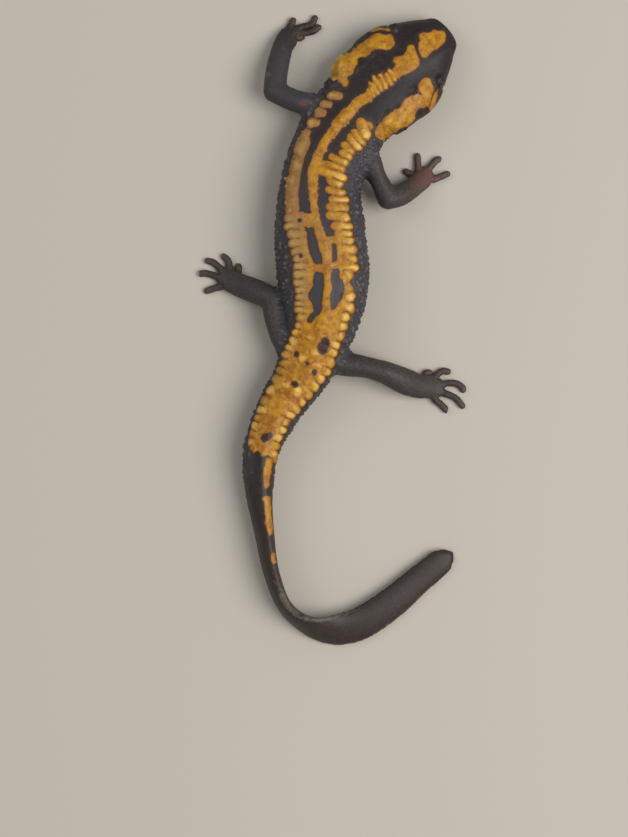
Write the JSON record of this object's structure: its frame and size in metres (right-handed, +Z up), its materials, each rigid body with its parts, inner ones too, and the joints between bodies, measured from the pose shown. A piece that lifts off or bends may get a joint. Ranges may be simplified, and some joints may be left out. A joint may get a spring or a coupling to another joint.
{
  "type": "warty newt",
  "caption": "Life-size standing newt with a broad flat head, warty ridged back, splayed legs and a tail laid over in a curve.",
  "frame": {"origin": "on the floor, under the middle of the animal's bounding box", "axes": "+Y towards the head along the body, +X towards the animal's right side, +Z up"},
  "size_m": [0.0674, 0.1584, 0.015],
  "materials": {
    "skin": "damp, granular, near-black with warm yellow stripes",
    "eye": "wet gloss"
  },
  "bodies": {
    "root": {"head": "skin", "lower_jaw": "skin", "neck": "skin", "trunk_front": "skin", "trunk_middle": "skin", "trunk_rear": "skin", "tail_base": "skin", "tail_front": "skin", "tail_rear": "skin", "tail_end": "skin", "upper_arm_left": "skin", "forearm_left": "skin", "hand_left": "skin", "thigh_left": "skin", "shank_left": "skin", "foot_left": "skin", "upper_arm_right": "skin", "forearm_right": "skin", "hand_right": "skin", "thigh_right": "skin", "shank_right": "skin", "foot_right": "skin", "eye_left": "eye", "eye_right": "eye"}
  },
  "joints": []
}
